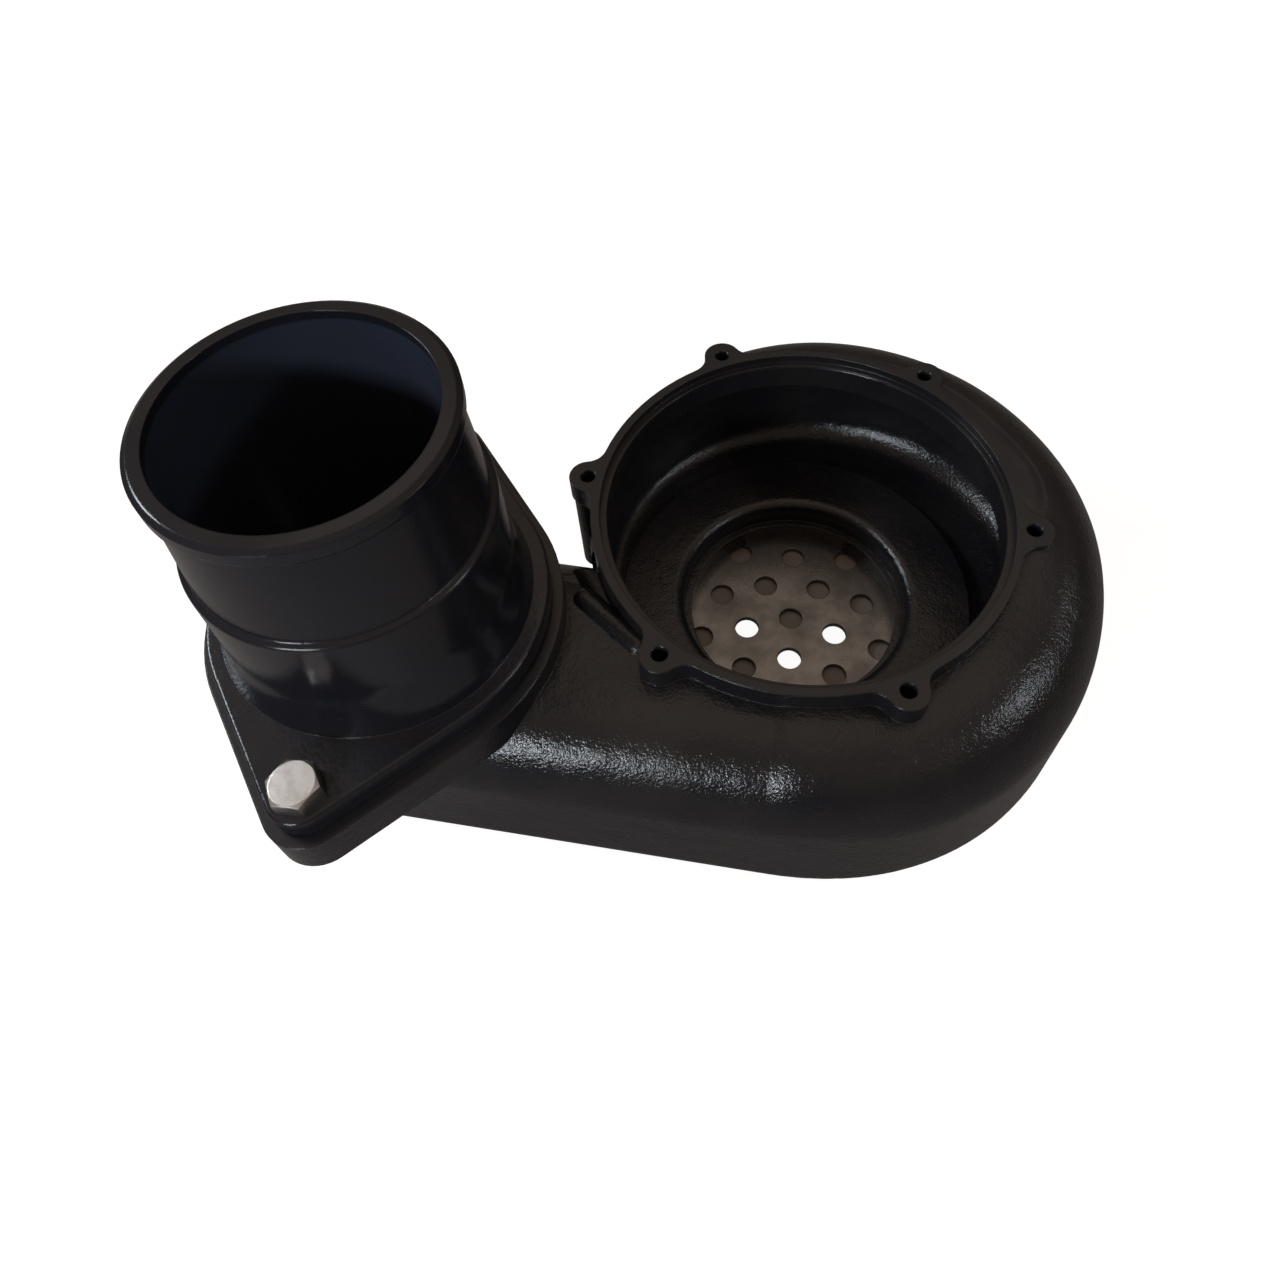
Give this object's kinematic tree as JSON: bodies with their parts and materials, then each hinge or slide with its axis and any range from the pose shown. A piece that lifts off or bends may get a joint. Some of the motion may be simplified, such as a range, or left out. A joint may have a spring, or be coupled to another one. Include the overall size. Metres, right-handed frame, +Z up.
{
  "type": "volute pump casing",
  "caption": "Volute pump casing with a motor joint face, a strained bottom suction eye and a side discharge turned up into a bolted hose coupling.",
  "frame": {"origin": "centre of the motor opening on the motor joint face", "axes": "+Z up the pump axis out of the motor opening; the discharge leg runs towards -X and the hose coupling rises along +Z"},
  "size_m": [0.3768, 0.3071, 0.2233],
  "materials": {
    "enamelled_casting": "gloss black enamel over a rough sand-cast skin",
    "enamelled_coupling": "gloss black enamel over turned and cast faces",
    "gasket_rubber": "plain dark sheet",
    "stainless_bolts": "bright stainless",
    "strainer_steel": "dull grey punched plate",
    "stainless_screws": "bright stainless"
  },
  "bodies": {
    "root": {"volute_casing": "enamelled_casting", "hose_coupling": "enamelled_coupling", "flange_gasket": "gasket_rubber", "flange_bolts": "stainless_bolts", "strainer_plate": "strainer_steel", "strainer_screws": "stainless_screws"}
  },
  "joints": []
}
